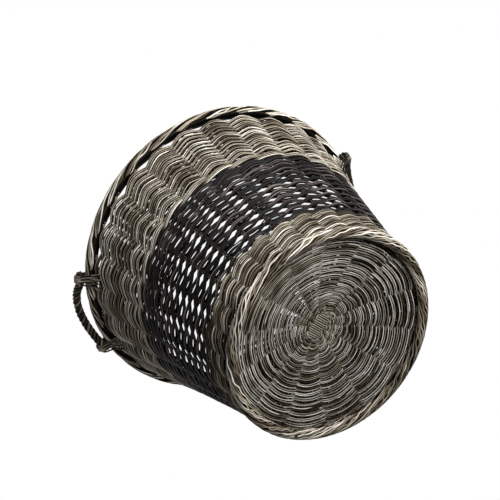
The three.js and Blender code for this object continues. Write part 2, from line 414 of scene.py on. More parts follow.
@dataclass
class Rods:
    """Round rods, each a circle carried along a path.

    The corner at angle a of the circle is path + radius (cos a u + sin a v), where u is the facing direction square
    to the path and v = path direction x u.

    Args:
        name: the piece's name.
        points: paths, (rods, points, 3).
        facing: a direction for each point that is never along the path, same shape.
        radius: rod radius, (rods, points).
        tone: tone of the willow, (rods, points).
        closed: whether each path meets itself.
        sides: corners of the circle.
        swing: 1 where the rod lies on the facing side of the weave and -1 where it lies on the other, (rods, points).
            The corner at angle a is open to the air by half of 1 + swing cos a, and the less open a corner is, the
            more shade is painted on it.
    """

    name: str
    points: np.ndarray
    facing: np.ndarray
    radius: np.ndarray
    tone: np.ndarray
    closed: bool
    sides: int = 6
    swing: np.ndarray | float = 1.0

    def corners(self) -> np.ndarray:
        """Places every corner of every circle.

        Returns:
            Corners in metres, (rods, points, sides, 3).
        """
        points = self.points
        if self.closed:
            along = np.roll(points, -1, axis=1) - np.roll(points, 1, axis=1)
        else:
            along = np.gradient(points, axis=1)
        along = unit(along)
        u = unit(self.facing - along * (self.facing * along).sum(-1, keepdims=True))
        v = np.cross(along, u)
        turn = np.arange(self.sides) * TAU / self.sides
        ring = np.cos(turn)[:, None] * u[:, :, None, :] + np.sin(turn)[:, None] * v[:, :, None, :]
        return (points[:, :, None, :] + self.radius[:, :, None, None] * ring) * MM

    def pattern_places(self, spans: int) -> np.ndarray:
        """Gives each corner of each four-sided face its place in the bark's pattern.

        Args:
            spans: spans between circles along one rod.

        Returns:
            Metres along the rod and part of the way round it, one pair for each face corner.
        """
        count, sides = len(self.points), self.sides
        step = np.linalg.norm(np.roll(self.points, -1, axis=1) - self.points, axis=-1)
        run = np.concatenate([np.zeros((count, 1)), np.cumsum(step, axis=1)], axis=1)
        run = run + PATTERN_STEP * np.arange(count)[:, None]
        low, high = run[:, :spans], run[:, 1 : spans + 1]
        left = np.broadcast_to(np.arange(sides) / sides, (count, spans, sides))
        along = np.stack([low, low, high, high], axis=-1)[:, :, None, :] * MM + np.zeros((count, spans, sides, 4))
        around = np.stack([left, left + 1 / sides, left + 1 / sides, left], axis=-1)
        return np.stack([along, around], axis=-1).reshape(-1, 2)

    def build(self) -> bpy.types.Object:
        """Makes the mesh, with end caps on open rods.

        Returns:
            The mesh object, in metres.
        """
        count, steps = self.points.shape[:2]
        sides = self.sides
        number = np.arange(count * steps * sides).reshape(count, steps, sides)
        here = number if self.closed else number[:, :-1]
        there = np.roll(number, -1, axis=1) if self.closed else number[:, 1:]
        quads = np.stack([here, np.roll(here, -1, axis=2), np.roll(there, -1, axis=2), there], axis=-1)
        quads = quads.reshape(-1, 4)
        uv = self.pattern_places(here.shape[1])
        loops = quads.reshape(-1)
        starts = np.arange(len(quads)) * 4
        totals = np.full(len(quads), 4)
        if not self.closed:
            caps = np.concatenate([number[:, 0, ::-1], number[:, -1, :]]).reshape(-1)
            starts = np.concatenate([starts, len(loops) + np.arange(2 * count) * sides])
            totals = np.concatenate([totals, np.full(2 * count, sides)])
            loops = np.concatenate([loops, caps])
            uv = np.concatenate([uv, np.zeros((len(caps), 2))])

        mesh = bpy.data.meshes.new(self.name)
        mesh.vertices.add(count * steps * sides)
        mesh.vertices.foreach_set("co", self.corners().astype(np.float32).ravel())
        mesh.loops.add(len(loops))
        mesh.loops.foreach_set("vertex_index", loops.astype(np.int32))
        mesh.polygons.add(len(starts))
        mesh.polygons.foreach_set("loop_start", starts.astype(np.int32))
        mesh.polygons.foreach_set("loop_total", totals.astype(np.int32))
        mesh.polygons.foreach_set("use_smooth", np.ones(len(starts), dtype=bool))
        mesh.update(calc_edges=True)
        tone = np.repeat(self.tone.reshape(-1), sides)
        swing = np.broadcast_to(self.swing, (count, steps))[..., None]
        # how open each corner is: the less open, the more shade is painted on it
        open_for_painted_shade = 0.5 + 0.5 * swing * np.cos(np.arange(sides) * TAU / sides)
        for title, values in (("tone", tone), ("open", open_for_painted_shade)):
            attribute = mesh.attributes.new(title, "FLOAT", "POINT")
            attribute.data.foreach_set("value", values.astype(np.float32).ravel())
        mesh.uv_layers.new(name="rod").data.foreach_set("uv", uv.astype(np.float32).ravel())
        made = bpy.data.objects.new(self.name, mesh)
        bpy.context.scene.collection.objects.link(made)
        return made


def dress(piece: bpy.types.Object, finish: bpy.types.Material, nodes: list[str]) -> None:
    """Gives a piece its finish and its place in the frame.

    Args:
        piece: the mesh object.
        finish: its material.
        nodes: CAD nodes that it stands for.
    """
    piece.data.materials.append(finish)
    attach(piece, "root")
    if nodes:
        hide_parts(*nodes)
    triangles = sum(len(face.vertices) - 2 for face in piece.data.polygons)
    log.info("%s: %d triangles, stands for %s", piece.name, triangles, ", ".join(nodes) or "nothing")


@dataclass
class Wall:
    """The wall's middle surface: a radius for each height, straight between the knots."""

    heights: tuple[float, ...] = (16.3, 21.3, 52.0, 178.0, 188.0, 270.0, 275.0)
    radii: tuple[float, ...] = (129.5, 131.5, 137.0, 163.5, 166.0, 186.5, 188.0)

    def radius(self, z: np.ndarray | float) -> np.ndarray:
        """Reads the radius of the middle surface.

        Args:
            z: heights.

        Returns:
            The radius at each.
        """
        return np.interp(z, self.heights, self.radii)


@dataclass
class WovenBand:
    """Rows of paired weaving round the stakes.

    At angle q from a stake, in half turns a stake, one bundle lies at out = +d cos q, up = z + h sin q, and its
    partner at out = -d cos q, up = z - h sin q, so they change sides at each gap between stakes. Where the rows are
    beaten down between the stakes, a straight-sided ridge peaks at each stake. Cover lifts whichever bundle is
    outside, so that its partner closes the slot under it.
    """

    name: str
    node: str
    slot: str
    finish: WillowFinish
    row_heights: np.ndarray
    rods_in_bundle: int
    rod_radius: float
    lift: float
    wall: Wall
    stake_half: float = 1.25
    nest: float = 0.95  # how far out a rod lies on a stake, in its own radii
    pinch: float = 0.22  # how much closer a bundle's rods lie half-way between stakes
    points_a_stake: int = 9
    sides: int = 5
    tone: float = 0.5
    tone_spread: float = 0.2
    rods_a_row: int = 5
    uneven: float = 0.35
    uneven_out: float = 0.35  # the same in and out, as a share of it
    thickness_spread: float = 0.07
    thickness_drift: float = 0.04
    seed: int = 1
    peak: float = 0.0
    cover: float = 0.0

    def build(self) -> bpy.types.Object:
        """Weaves all rows as closed rings of rods.

        Returns:
            The band's mesh object.
        """
        rng = np.random.default_rng(self.seed)
        steps = STAKES * self.points_a_stake
        angle = np.arange(steps) * TAU / steps
        q = np.pi * (angle - STAKE_STEP / 2) / STAKE_STEP
        rows = len(self.row_heights)
        bundle = np.arange(self.rods_in_bundle) - (self.rods_in_bundle - 1) / 2
        side = np.array([1.0, -1.0])[None, :, None, None]
        swing = side * np.cos(q)
        rise = side * np.sin(q)
        ridge = np.abs((q / np.pi) % 1.0 - 0.5) * 2 - 0.5
        close = (1 - self.pinch) + self.pinch * np.cos(q) ** 2
        apart = bundle[None, None, :, None] * 2 * self.rod_radius * close
        count = rows * 2 * self.rods_in_bundle
        shape = (rows, 2, self.rods_in_bundle, steps)
        sway = wander(rng, count, steps, self.uneven, True).reshape(shape)
        puff = wander(rng, count, steps, self.uneven * self.uneven_out, True).reshape(shape)
        z_row = self.row_heights[:, None, None, None]
        z = z_row + self.lift * rise + self.peak * ridge + self.cover * swing + apart + sway
        r = self.wall.radius(z) + ((self.stake_half + self.rod_radius * self.nest) * swing + puff)
        spread = self.thickness_spread * rng.normal(0, 1, (count, 1))
        thick = self.rod_radius * (1 + spread + wander(rng, count, steps, self.thickness_drift, True))
        points = spot(r, np.broadcast_to(angle, shape), z).reshape(count, steps, 3)
        facing = np.broadcast_to(spot(1.0, angle, 0.0), (count, steps, 3))
        tones = rod_tones(rng, count, steps, self.rods_a_row, self.tone, self.tone_spread)
        # which side of the weave each rod lies on, for the painted shade
        swing_for_painted_shade = np.broadcast_to(swing, shape).reshape(count, steps)
        return Rods(self.name, points, facing, thick, tones, True, self.sides, swing_for_painted_shade).build()

    def dress(self, materials: dict[str, bpy.types.Material]) -> None:
        """Builds the band and puts its finish on.

        Args:
            materials: every material by its title.
        """
        dress(self.build(), materials[self.finish.title], [self.node])


@dataclass
class Stakes:
    """Fourteen pairs of rods, from one wall through the base to the other.

    Each path runs straight through the crossing, fans out along its arm, turns up at the foot and follows the wall.
    """

    wall: Wall
    width: float = 2.5  # room for one rod of a pair
    gap: float = 0.3  # between two pairs
    rod_radius: float = 1.2
    rod_apart: float = 1.3  # from the pair's middle to each rod's
    long_pairs: int = 8
    cross_pairs: int = 6
    base_radius: float = 124.0
    edge_height: float = 16.3
    dome: float = 20.0
    bend_room: float = 1.0
    stagger: float = 0.3  # how much sooner the outer pairs bend
    fan_radii: tuple[float, float, float] = (50.0, 85.0, 108.0)
    fan_apart: tuple[float, float] = (4.0, 5.5)  # from the arm's middle, at the last two radii
    edge_inset: float = 4.0
    edge_lift: float = 0.2
    turn_radius: float = 131.5
    turn_knots: tuple[tuple[float, float], ...] = ((3.5, 1.0), (1.0, 3.0))  # in from the turn, up from the edge
    wall_start: float = 3.0
    tuck: float = 3.0  # how far the ends stand up into the border
    points_each: int = 260
    drift: float = 0.05
    # kept low partly as painted shade, for the stakes seen through the gaps of the weave
    tone: float = 0.3
    tone_spread: float = 0.12
    pale_steps: int = 10  # points either side of the middle, about 31 mm, that are made pale, partly as painted light against the shade of the recess
    # partly the sticks' own paleness and partly painted light, lifted to outshine the shade of the recess between the
    # base rows
    pale_and_painted_light_lift: float = 1.1
    seed: int = 5

    def height(self, r: np.ndarray | float) -> np.ndarray:
        """Height of the base's middle surface: the edge's height plus the dome times 1 - (r / base radius) ^ 2.

        Args:
            r: radii.

        Returns:
            The height at each.
        """
        return self.edge_height + self.dome * (1 - np.minimum(1, r / self.base_radius) ** 2)

    def half(
        self, heading: float, rank: int, pairs: int, layer: Layer, sign: int
    ) -> tuple[list[np.ndarray], list[np.ndarray]]:
        """Path of half a pair, from the middle out.

        Args:
            heading: direction of the set.
            rank: number of the pair in the set.
            pairs: pairs in the set.
            layer: how the set lies at the crossing.
            sign: 1 for the half along the heading, -1 for the other.

        Returns:
            Points, and the direction across the pair at each.
        """
        pitch = 2 * self.width + self.gap
        middle_rank = (pairs - 1) / 2
        offset = (rank - middle_rank) * pitch
        arm = rank // 2 - (pairs / 2 - 1) / 2
        twin = -1 if rank % 2 == 0 else 1
        outward = heading if sign > 0 else heading + np.pi
        arm_angle = outward + sign * arm * ARM_STEP
        wall_angle = outward + sign * (rank - middle_rank) * STAKE_STEP
        edge_angle = (arm_angle + wall_angle) / 2
        other = self.cross_pairs if pairs == self.long_pairs else self.long_pairs
        middle = self.height(0) + layer.value * (self.width + self.gap) / 2
        side = spot(offset, heading + np.pi / 2, 0.0)
        bend = other * pitch / 2 + self.bend_room + (middle_rank * pitch - abs(offset)) * self.stagger

        knots = [(side + spot(reach, outward, middle), outward) for reach in (0.0, bend)]
        for r, apart in zip(self.fan_radii, (pitch / 2 + self.gap, *self.fan_apart)):
            place = spot(r, arm_angle, self.height(r)) + spot(sign * twin * apart, arm_angle + np.pi / 2, 0.0)
            knots.append((place, arm_angle))
        edge = spot(self.base_radius - self.edge_inset, edge_angle, self.edge_height + self.edge_lift)
        knots.append((edge, edge_angle))
        for inside, up in self.turn_knots:
            knots.append((spot(self.turn_radius - inside, wall_angle, self.edge_height + up), wall_angle))
        start = self.edge_height + 2 * self.width + self.wall_start
        for z in (start, *self.wall.heights[2:-1], self.wall.heights[-1] + self.tuck):
            knots.append((spot(float(self.wall.radius(z)), wall_angle, z), wall_angle))
        across = [np.cross([0, 0, 1.0], spot(float(sign), angle, 0.0)) for _, angle in knots]
        return [place for place, _ in knots], across

    def pair(self, heading: float, rank: int, pairs: int, layer: Layer) -> tuple[np.ndarray, np.ndarray]:
        """Whole path of one pair and the direction across it.

        Args:
            heading: direction of the set.
            rank: number of the pair in the set.
            pairs: pairs in the set.
            layer: how the set lies at the crossing.

        Returns:
            Points and cross directions, evenly spaced.
        """
        back, back_across = self.half(heading, rank, pairs, layer, -1)
        front, front_across = self.half(heading, rank, pairs, layer, 1)
        points = np.array(back[::-1] + front[1:])
        across = np.array(back_across[::-1] + front_across[1:])
        run = run_of(points)
        return evenly(points, run, self.points_each), unit(evenly(across, run, self.points_each))

    def build(self, materials: dict[str, bpy.types.Material]) -> None:
        """Builds every pair as two rods and dresses it.

        Args:
            materials: every material by its title.
        """
        rng = np.random.default_rng(self.seed)
        steps = self.points_each
        # pale middle of each stake, partly painted light against the shade of the recess
        pale = self.pale_and_painted_light_lift * (np.abs(np.arange(steps) - steps / 2) <= self.pale_steps)
        sets = [(HEADING, rank, self.long_pairs, Layer.UNDER) for rank in range(self.long_pairs)]
        sets += [(HEADING + np.pi / 2, rank, self.cross_pairs, Layer.OVER) for rank in range(self.cross_pairs)]
        for number, (heading, rank, pairs, layer) in enumerate(sets, 1):
            points, across = self.pair(heading, rank, pairs, layer)
            two = np.stack([points - across * self.rod_apart, points + across * self.rod_apart])
            facing = np.cross(np.stack([across, across]), unit(np.gradient(two, axis=1)))
            thick = self.rod_radius + wander(rng, 2, steps, self.drift, False)
            tones = rod_tones(rng, 2, steps, 2, self.tone, self.tone_spread) + pale
            made = Rods(f"stake_rods_{number:02d}", two, facing, thick, tones, False).build()
            dress(made, materials[STAKE_WILLOW.title], [f"stake_pair_{number:02d}"])


@dataclass
class Base:
    """Rows of paired weaving on the 14 arms of the base, a shallow dome seen from below.

    Row k has radius R = first + pitch k + opening k ^ 2. One bundle of two rods lies at r = R + h sin q + c cos q and
    height = dome(r) - d w, with w = cos q drawn out to a flatter wave, sign(cos q) |cos q| ^ flat. Its partner has
    both swings the other way. Round the crossing the rows are squeezed to an oval, R (1 - e cos 2(angle - heading)).
    """

    stakes: Stakes
    first: float = 14.6
    rows: int = 21
    pitch: float = 4.4  # between the first two rows
    opening: float = 0.045  # how the pitch grows outwards
    row_spread: float = 0.25
    points_an_arm: int = 14
    sides: int = 6
    rod_radius: float = 0.98
    thin: float = 0.86  # the innermost rods, as a share of that radius
    growth: float = 0.3  # how much thicker the outermost rods are
    growth_from: float = 25.0
    growth_over: float = 75.0
    bunch: float = 1.04  # how close the two rods of a bundle lie, 1 touching
    lift: float = 0.9
    cover: float = 1.25
    flat: float = 0.5
    stake_half: float = 1.25
    nest: float = 0.9  # how far out a rod lies on a stake, in its own radii
    crossing_depth: float = 1.4  # how much farther out it lies round the two layers of the crossing
    crossing_radius: float = 34.0
    crossing_over: float = 12.0
    oval: float = 0.3
    oval_radius: float = 50.0
    oval_over: float = 36.0
    sway: float = 0.35
    sway_up: float = 0.12
    thickness_drift: float = 0.06
    rods_a_row: int = 5
    tone: float = 0.74
    tone_spread: float = 0.24
    seed: int = 11

    def build(self) -> bpy.types.Object:
        """Weaves the base.

        Returns:
            The base's mesh object.
        """
        rng = np.random.default_rng(self.seed)
        k = np.arange(self.rows)
        radii = self.first + self.pitch * k + self.opening * k**2
        radii = radii + rng.normal(0, self.row_spread, self.rows)
        steps = ARMS * self.points_an_arm
        angle = np.arange(steps) * TAU / steps
        q = np.pi * (angle - HEADING - ARM_STEP / 2) / ARM_STEP
        side = np.array([1.0, -1.0])[None, :, None, None]
        pair = np.array([-0.5, 0.5])[None, None, :, None]
        shape = (self.rows, 2, 2, steps)
        count = self.rows * 4
        ring = radii[:, None, None, None]
        grown = np.clip((ring - self.growth_from) / self.growth_over, 0, 1)
        fat = self.rod_radius * (self.thin + self.growth * grown)
        wide = np.sign(np.cos(q)) * np.abs(np.cos(q)) ** self.flat
        sway = wander(rng, count, steps, self.sway, True).reshape(shape)
        squeeze = self.oval * np.clip((self.oval_radius - ring) / self.oval_over, 0, 1)
        r = ring * (1 - squeeze * np.cos(2 * (angle - HEADING)))
        r = r + self.lift * side * np.sin(q) + self.cover * side * np.cos(q) + pair * 2 * fat * self.bunch + sway
        near_crossing = np.clip((self.crossing_radius - ring) / self.crossing_over, 0, 1)
        deep = self.stake_half + fat * self.nest + self.crossing_depth * near_crossing
        z = self.stakes.height(r) - side * wide * deep
        z = z + wander(rng, count, steps, self.sway_up, True).reshape(shape)
        points = spot(r, np.broadcast_to(angle, shape), z).reshape(count, steps, 3)
        facing = np.broadcast_to(np.array([0, 0, -1.0]), (count, steps, 3))
        drift = 1 + wander(rng, count, steps, self.thickness_drift, True)
        thick = np.broadcast_to(fat, shape).reshape(count, steps) * drift
        tones = rod_tones(rng, count, steps, self.rods_a_row, self.tone, self.tone_spread)
        # which side of the weave each rod lies on, for the painted shade
        swing_for_painted_shade = np.broadcast_to(side * wide, shape).reshape(count, steps)
        return Rods("base_rows", points, facing, thick, tones, True, self.sides, swing_for_painted_shade).build()

    def dress(self, materials: dict[str, bpy.types.Material]) -> None:
        """Builds the base and puts its finish on.

        Args:
            materials: every material by its title.
        """
        dress(self.build(), materials[BASE_WILLOW.title], ["base_weave"])


@dataclass
class WoundRing:
    """A border of rods that wind slowly round a ring while they run along it.

    At part t of its length a rod stands at angle a0 + sweep t round the basket, and at angle p0 + (p1 - p0) t round
    the ring's oval section, with its centre line one rod radius inside the oval. Near both ends it dips in, so that
    the ends are tucked under the other rods.
    """

    name: str
    node: str
    radius: float
    height: float
    half_width: float
    half_height: float
    rod_radius: float
    sweep: float  # degrees
    turn_from: float  # degrees
    turn_to: float  # degrees
    rods_each: int
    bunch: float  # how close the rods of one bundle lie, 1 touching
    loose: float
    core: float  # size of the hidden rods
    seed: int
    points_each: int = 44
    sides: int = 7
    side_step: float = 2.05  # between two rods of a bundle, in radii
    step_along: float = 0.9  # the share of that step that is taken along the ring
    step_round: float = 0.45  # the share that is taken round the section
    tuck: float = 1.6
    tuck_length: float = 0.09  # part of a rod's length
    thickness_spread: float = 0.06
    tone: float = 0.64
    tone_spread: float = 0.26
    core_points: int = 180
    core_places: tuple[float, float, float] = (0.5, 2.6, 4.7)  # angles round the section
    core_room: float = 0.45  # how far in of the wound rods, as a share of its size
    core_share: float = 0.8  # its radius, as a share of its size
    core_least: tuple[float, float] = (0.6, 0.4)  # least reach out and up
    core_lengths: int = 3
    core_painted_shade_tone: tuple[float, float] = (0.1, 0.05)  # average and spread, kept low as painted shade
    core_sides: int = 8

    def build(self) -> bpy.types.Object:
        """Winds the rods over the core.

        Returns:
            The border's mesh object.
        """
        rng = np.random.default_rng(self.seed)
        steps = self.points_each
        t = np.linspace(0, 1, steps)
        start = (np.arange(STAKES) + 0.5) * STAKE_STEP
        place = (np.arange(self.rods_each) - (self.rods_each - 1) / 2)[None, :, None]
        place = place * (self.side_step * self.rod_radius * self.bunch)
        count = STAKES * self.rods_each
        shape = (STAKES, self.rods_each, steps)
        angle = start[:, None, None] + np.radians(self.sweep) * t + place / self.radius * self.step_along
        turn = np.radians(self.turn_from + (self.turn_to - self.turn_from) * t) + np.zeros(shape)
        turn = turn - place / self.half_width * self.step_round
        turn = turn + wander(rng, count, steps, self.loose, False).reshape(shape)
        near_end = np.maximum(0, self.tuck_length - t) + np.maximum(0, t - (1 - self.tuck_length))
        dip = self.tuck * near_end / self.tuck_length
        r = self.radius + (self.half_width - self.rod_radius - dip) * np.cos(turn)
        z = self.height + (self.half_height - self.rod_radius - dip) * np.sin(turn)
        points = spot(r, angle, z).reshape(count, steps, 3)
        facing = spot(np.cos(turn), angle, np.sin(turn)).reshape(count, steps, 3)
        spread = 1 + self.thickness_spread * rng.normal(0, 1, (count, 1))
        thick = self.rod_radius * (spread + np.zeros((1, steps)))
        tones = rod_tones(rng, count, steps, 1, self.tone, self.tone_spread)
        return Rods(self.name, points, facing, thick, tones, False, self.sides).build()

    def build_core(self) -> bpy.types.Object:
        """Lays dark rods in the middle of the section, where they close the view between the wound rods; their dark
        colour is painted shade.

        Returns:
            The core's mesh object.
        """
        rng = np.random.default_rng(self.seed + 1)
        steps = self.core_points
        angle = np.arange(steps) * TAU / steps
        room = self.core * self.core_room
        reach_out = max(self.half_width - 2 * self.rod_radius - room, self.core_least[0])
        reach_up = max(self.half_height - 2 * self.rod_radius - room, self.core_least[1])
        turn = np.array(self.core_places)[:, None]
        shape = (len(turn), steps)
        r = self.radius + reach_out * np.cos(turn) + np.zeros(shape)
        z = self.height + reach_up * np.sin(turn) + np.zeros(shape)
        points = spot(r, np.broadcast_to(angle, shape), z)
        facing = np.broadcast_to(spot(1.0, angle, 0.0), (*shape, 3))
        # dark tone: painted shade inside the border
        tones = rod_tones(rng, *shape, self.core_lengths, *self.core_painted_shade_tone)
        thick = np.full(shape, self.core * self.core_share)
        return Rods(f"{self.name}_core", points, facing, thick, tones, True, self.core_sides).build()

    def dress(self, materials: dict[str, bpy.types.Material]) -> None:
        """Builds the border and its core and puts their finish on.

        Args:
            materials: every material by its title.
        """
        dress(self.build(), materials[PALE_WILLOW.title], [self.node])
        dress(self.build_core(), materials[PALE_WILLOW.title], [])


@dataclass
class Handle:
    """A small ear of twisted willow rope, lashed to the border at both ends.

    A strand lies at the rope's centre line plus reach (cos w out + sin w across), with w growing by one turn every
    twist length.
    """

    side: Side
    border_radius: float = 191.5
    border_height: float = 282.0
    border_half: float = 8.5
    rope_radius: float = 5.5
    rope_gap: float = 1.0  # between rope and border
    arc: float = np.radians(18.2)
    lean: float = 3.0
    rise: float = 21.0
    knots: tuple[tuple[float, float], ...] = (  # parts of the arc and of the rise, from the end to the middle
        (0.93, 0), (0.86, 0), (0.72, 0.06), (0.6, 0.3), (0.47, 0.62), (0.3, 0.88), (0.13, 0.99)
    )
    points_along: int = 150
    ease: int = 17  # points over which the bends are eased
    strands: int = 4
    strand_share: float = 0.46  # a strand's radius, as a share of the rope's
    strand_drift: float = 0.06
    strand_sides: int = 10
    twist: float = 27.0
    rope_tone: tuple[float, float] = (0.5, 0.22)  # average and spread, as in the next two
    rope_seed: int = 31
    lashing_angle: float = np.radians(14.8)
    lashing_width: float = 10.0
    lashing_turns: int = 4
    points_a_turn: int = 60
    skin: float = 3.0
    cane: float = 1.35
    cane_sides: int = 8
    cane_tone: tuple[float, float] = (0.6, 0.15)
    cane_seed: int = 41
    tail_radius: float = 1.15
    tail_path: tuple[tuple[float, float], ...] = (  # radius and height
        (207.0, 290.5), (213.5, 284.0), (209.5, 274.5), (197.0, 270.0), (190.6, 263.5), (185.0, 258.0)
    )
    tail_points: int = 60
    tail_ease: int = 11
    tail_sway: tuple[float, float, float] = (0.09, 0.09, 0.3)
    tail_facing_up: float = 0.7  # how far the facing direction rises for each step outwards
    tail_sides: int = 7
    tail_tone: tuple[float, float] = (0.62, 0.2)
    tail_seed: int = 51
    tail_fan: tuple[float, ...] = (-1.0, -0.35, 0.3, 1.0)  # where each end lies across the fan
    fan_start: float = 0.9  # degrees either way at the rope
    fan_growth: float = 2.6  # degrees more at the tips
    fan_power: float = 1.5

    @property
    def title(self) -> str:
        """The side's name, as the pieces have it."""
        return self.side.name.lower()

    @property
    def front(self) -> int:
        """The end of the handle towards -Y: 1 or -1, the way it lies round the rim from the handle's middle."""
        return -self.side.value

    @property
    def middle(self) -> float:
        """Angle of the handle's middle round the basket."""
        return 0.0 if self.side is Side.RIGHT else np.pi

    def centre(self) -> np.ndarray:
        """Centre line of the rope, through the knots, eased and evenly spaced.

        Returns:
            Points, (points along, 3).
        """
        line = [*self.knots, (0.0, 1.0), *((-part, up) for part, up in self.knots[::-1])]
        part, up = np.array(line).T
        r = self.border_radius + self.border_half + self.rope_radius + self.rope_gap + up * self.lean
        points = spot(r, part * self.arc + self.middle, self.border_height + up * self.rise)
        points = evenly(points, run_of(points), self.points_along)
        half = self.ease // 2
        before = 2 * points[0] - points[half:0:-1]
        after = 2 * points[-1] - points[-2 : -half - 2 : -1]
        padded = np.concatenate([before, points, after])
        return np.stack([np.convolve(padded[:, i], bell(self.ease), "valid") for i in range(3)], axis=1)

    def rope(self) -> bpy.types.Object:
        """Twists the strands round the centre line.

        Returns:
            The rope's mesh object.
        """
        rng = np.random.default_rng(self.rope_seed + self.front)
        line = self.centre()
        steps = len(line)
        along = unit(np.gradient(line, axis=0))
        out = spot(1.0, self.middle, 0.0)
        u = unit(out - along * (along @ out)[:, None])
        v = np.cross(along, u)
        strand_radius = self.rope_radius * self.strand_share
        phase = np.arange(self.strands)[:, None] * TAU / self.strands
        w = phase + TAU * run_of(line) / self.twist
        arm = np.cos(w)[..., None] * u + np.sin(w)[..., None] * v
        points = line + (self.rope_radius - strand_radius) * arm
        drift = 1 + wander(rng, self.strands, steps, self.strand_drift, False)
        thick = np.full((self.strands, steps), strand_radius) * drift
        tones = rod_tones(rng, self.strands, steps, 2, *self.rope_tone)
        return Rods(f"rope_{self.title}", points, arm, thick, tones, False, self.strand_sides).build()

    def lashing(self, end: int, name: str) -> bpy.types.Object:
        """Winds split willow round the border and the rope: the outline is the tight loop round two circles.

        Args:
            end: -1 or 1, the end of the handle along the rim.
            name: the piece's name.

        Returns:
            The lashing's mesh object.
        """
        rng = np.random.default_rng(self.cane_seed + end)
        steps = self.points_a_turn * self.lashing_turns
        w = np.linspace(0, TAU * self.lashing_turns, steps)
        apart = self.rope_radius + self.rope_gap + self.border_half
        large = self.border_half + self.skin - self.cane
        small = self.rope_radius + self.skin - self.cane
        on_rope = np.cos(w) > (large - small) / apart
        r = self.border_radius + np.where(on_rope, apart + small * np.cos(w), large * np.cos(w))
        z = self.border_height + np.where(on_rope, small * np.sin(w), large * np.sin(w))
        slide = np.linspace(-1, 1, steps) * (self.lashing_width / 2 - self.cane)
        angle = self.middle + end * self.lashing_angle + slide / self.border_radius
        points = spot(r, angle, z)[None]
        facing = spot(np.cos(w), angle, np.sin(w))[None]
        thick = self.cane * np.ones((1, steps))
        tones = rod_tones(rng, 1, steps, self.lashing_turns, *self.cane_tone)
        return Rods(name, points, facing, thick, tones, False, self.cane_sides).build()

    def tails(self, end: int, name: str) -> bpy.types.Object:
        """Fans the lashing's ends from the rope's outer side, under it and into the weave below the border.

        Args:
            end: -1 or 1, the end of the handle along the rim.
            name: the piece's name.

        Returns:
            The tails' mesh object.
        """
        rng = np.random.default_rng(self.tail_seed + end)
        knots = np.array(self.tail_path)
        t = np.linspace(0, 1, self.tail_points)
        at = np.linspace(0, 1, len(knots))
        sharp = (np.pad(np.interp(t, at, knots[:, i]), self.tail_ease // 2, "edge") for i in (0, 1))
        r, z = (np.convolve(line, bell(self.tail_ease), "valid") for line in sharp)
        fan = np.array(self.tail_fan)[:, None] * (self.fan_start + self.fan_growth * t**self.fan_power)
        middle = self.middle + end * self.lashing_angle
        shape = fan.shape
        points = spot(r + np.zeros(shape), middle + np.radians(fan), z + np.zeros(shape))
        sway = wander(rng, *shape, 1.0, False)[..., None] * np.array(self.tail_sway)
        facing = np.broadcast_to(spot(1.0, middle, self.tail_facing_up), (*shape, 3))
        thick = np.full(shape, self.tail_radius)
        tones = rod_tones(rng, *shape, 1, *self.tail_tone)
        return Rods(name, points + sway, facing, thick, tones, False, self.tail_sides).build()

    def dress(self, materials: dict[str, bpy.types.Material]) -> None:
        """Builds the rope and its two lashings and puts their finish on.

        Args:
            materials: every material by its title.
        """
        cane = materials[LASHING_WILLOW.title]
        dress(self.rope(), materials[ROPE_WILLOW.title], [f"handle_{self.title}_rope"])
        for place, end in (("front", self.front), ("back", -self.front)):
            turns = self.lashing(end, f"lashing_turns_{self.title}_{place}")
            dress(turns, cane, [f"lashing_{self.title}_{place}"])
            ends = self.tails(end, f"lashing_ends_{self.title}_{place}")
            dress(ends, cane, [])


@dataclass(frozen=True)
class Lamp:
    """A soft square lamp, placed by its direction and distance from the basket's middle."""

    name: str
    towards: tuple[float, float, float]
    distance_m: float
    size_m: float
    power_w: float
    aim_height_m: float = 0.15

    def build(self) -> None:
        """Adds the lamp, turned towards the basket."""
        data = bpy.data.lights.new(self.name, "AREA")
        data.size = self.size_m
        data.energy = self.power_w
        made = bpy.data.objects.new(self.name, data)
        aim = unit(np.array(self.towards))
        made.location = (aim * self.distance_m + np.array([0, 0, self.aim_height_m])).tolist()
        made.rotation_euler = Vector(aim.tolist()).to_track_quat("Z", "Y").to_euler()
        bpy.context.scene.collection.objects.link(made)


